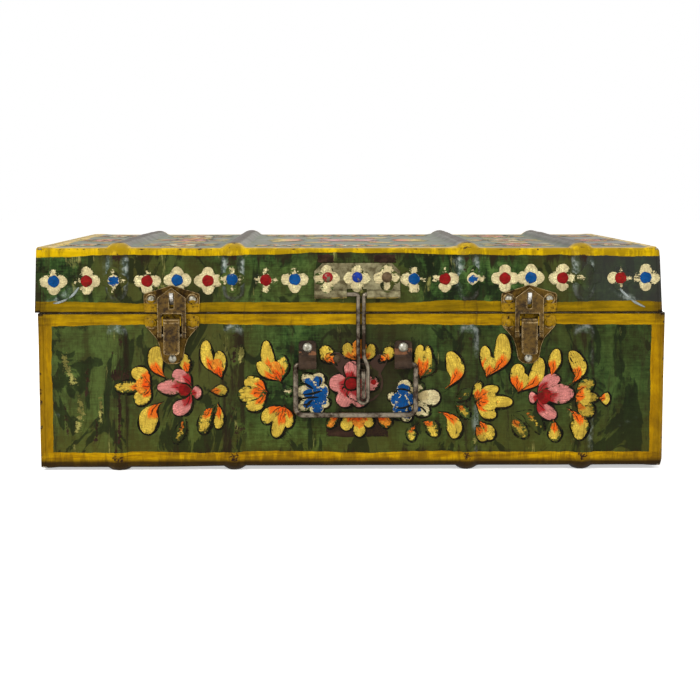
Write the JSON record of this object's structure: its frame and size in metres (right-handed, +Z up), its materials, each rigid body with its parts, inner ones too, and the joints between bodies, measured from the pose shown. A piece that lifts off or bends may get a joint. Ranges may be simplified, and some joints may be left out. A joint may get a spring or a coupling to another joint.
{
  "type": "tin trunk",
  "caption": "Small rectangular tin trunk with a hinged lid, pressed beads, toggle latches, a wire hasp and a bail handle.",
  "frame": {"origin": "bottom centre of the closed trunk's bounding box, on the surface that its bottom beads stand on", "axes": "+X to the right of someone facing the front, +Y from the front to the back, +Z up"},
  "size_m": [0.406, 0.2698, 0.1496],
  "materials": {
    "painted_tin": "worn gloss, hand painted",
    "bare_tin": "dull, tarnished",
    "latch_brass": "aged, browned",
    "pin_steel": "worn",
    "hasp_steel": "dull, tarnished",
    "wire_steel": "browned",
    "strap_steel": "dark brown patina",
    "hinge_steel": "browned",
    "rivet_steel": "satin"
  },
  "bodies": {
    "body": {"body_wrap": "painted_tin", "staple_plate": "hasp_steel", "padlock_staple": "hasp_steel", "staple_plate_rivet": "rivet_steel", "handle_strap_rivets": "rivet_steel", "latch_base_rivets": "rivet_steel", "body_hinge_rivets": "rivet_steel", "mouth_strip_front": "bare_tin", "mouth_strip_back": "bare_tin", "mouth_strip_left": "bare_tin", "mouth_strip_right": "bare_tin", "body_end_left": "painted_tin", "hinge_leaf_body_left": "hinge_steel", "hinge_pin_left": "pin_steel", "latch_base_left": "latch_brass", "latch_pivot_pin_left": "pin_steel", "handle_strap_left": "strap_steel", "body_end_right": "painted_tin", "hinge_leaf_body_right": "hinge_steel", "hinge_pin_right": "pin_steel", "latch_base_right": "latch_brass", "latch_pivot_pin_right": "pin_steel", "handle_strap_right": "strap_steel"},
    "lid": {"lid_wrap": "painted_tin", "hasp_plate": "hasp_steel", "hasp_rivets": "rivet_steel", "latch_catch_rivets": "rivet_steel", "lid_hinge_rivets": "rivet_steel", "lid_end_left": "painted_tin", "hinge_leaf_lid_left": "hinge_steel", "latch_catch_left": "latch_brass", "lid_end_right": "painted_tin", "hinge_leaf_lid_right": "hinge_steel", "latch_catch_right": "latch_brass"},
    "hasp_loop": {"hasp_loop": "wire_steel"},
    "bail": {"bail_handle": "wire_steel"},
    "lever_left": {"latch_lever_left": "latch_brass", "latch_claw_pin_left": "pin_steel"},
    "claw_left": {"latch_claw_left": "latch_brass"},
    "lever_right": {"latch_lever_right": "latch_brass", "latch_claw_pin_right": "pin_steel"},
    "claw_right": {"latch_claw_right": "latch_brass"}
  },
  "joints": [
    {"name": "lid_hinge", "type": "hinge", "parent": "body", "child": "lid", "pos_m": [0, 0.13245, 0.1038], "axis": [-1, 0, 0], "range_deg": [0, 160]},
    {"name": "hasp_loop_pivot", "type": "hinge", "parent": "lid", "child": "hasp_loop", "pos_m": [0.0042, -0.12698, 0.116], "axis": [-1, 0, 0], "range_deg": [0, 150]},
    {"name": "bail_pivot", "type": "hinge", "parent": "body", "child": "bail", "pos_m": [0.00315, -0.12743, 0.0702], "axis": [-1, 0, 0], "range_deg": [0, 150]},
    {"name": "latch_lever_left_pivot", "type": "hinge", "parent": "body", "child": "lever_left", "pos_m": [-0.116, -0.12833, 0.0988], "axis": [-1, 0, 0], "range_deg": [0, 120]},
    {"name": "latch_claw_left_pivot", "type": "hinge", "parent": "lever_left", "child": "claw_left", "pos_m": [-0.116, -0.12753, 0.0896], "axis": [-1, 0, 0], "range_deg": [-132, 0]},
    {"name": "latch_lever_right_pivot", "type": "hinge", "parent": "body", "child": "lever_right", "pos_m": [0.116, -0.12833, 0.0988], "axis": [-1, 0, 0], "range_deg": [0, 120]},
    {"name": "latch_claw_right_pivot", "type": "hinge", "parent": "lever_right", "child": "claw_right", "pos_m": [0.116, -0.12753, 0.0896], "axis": [-1, 0, 0], "range_deg": [-132, 0]}
  ],
  "couplings": [
    {"joint": "latch_claw_left_pivot", "follows": "latch_lever_left_pivot", "ratio": -1.1},
    {"joint": "latch_claw_right_pivot", "follows": "latch_lever_right_pivot", "ratio": -1.1}
  ]
}
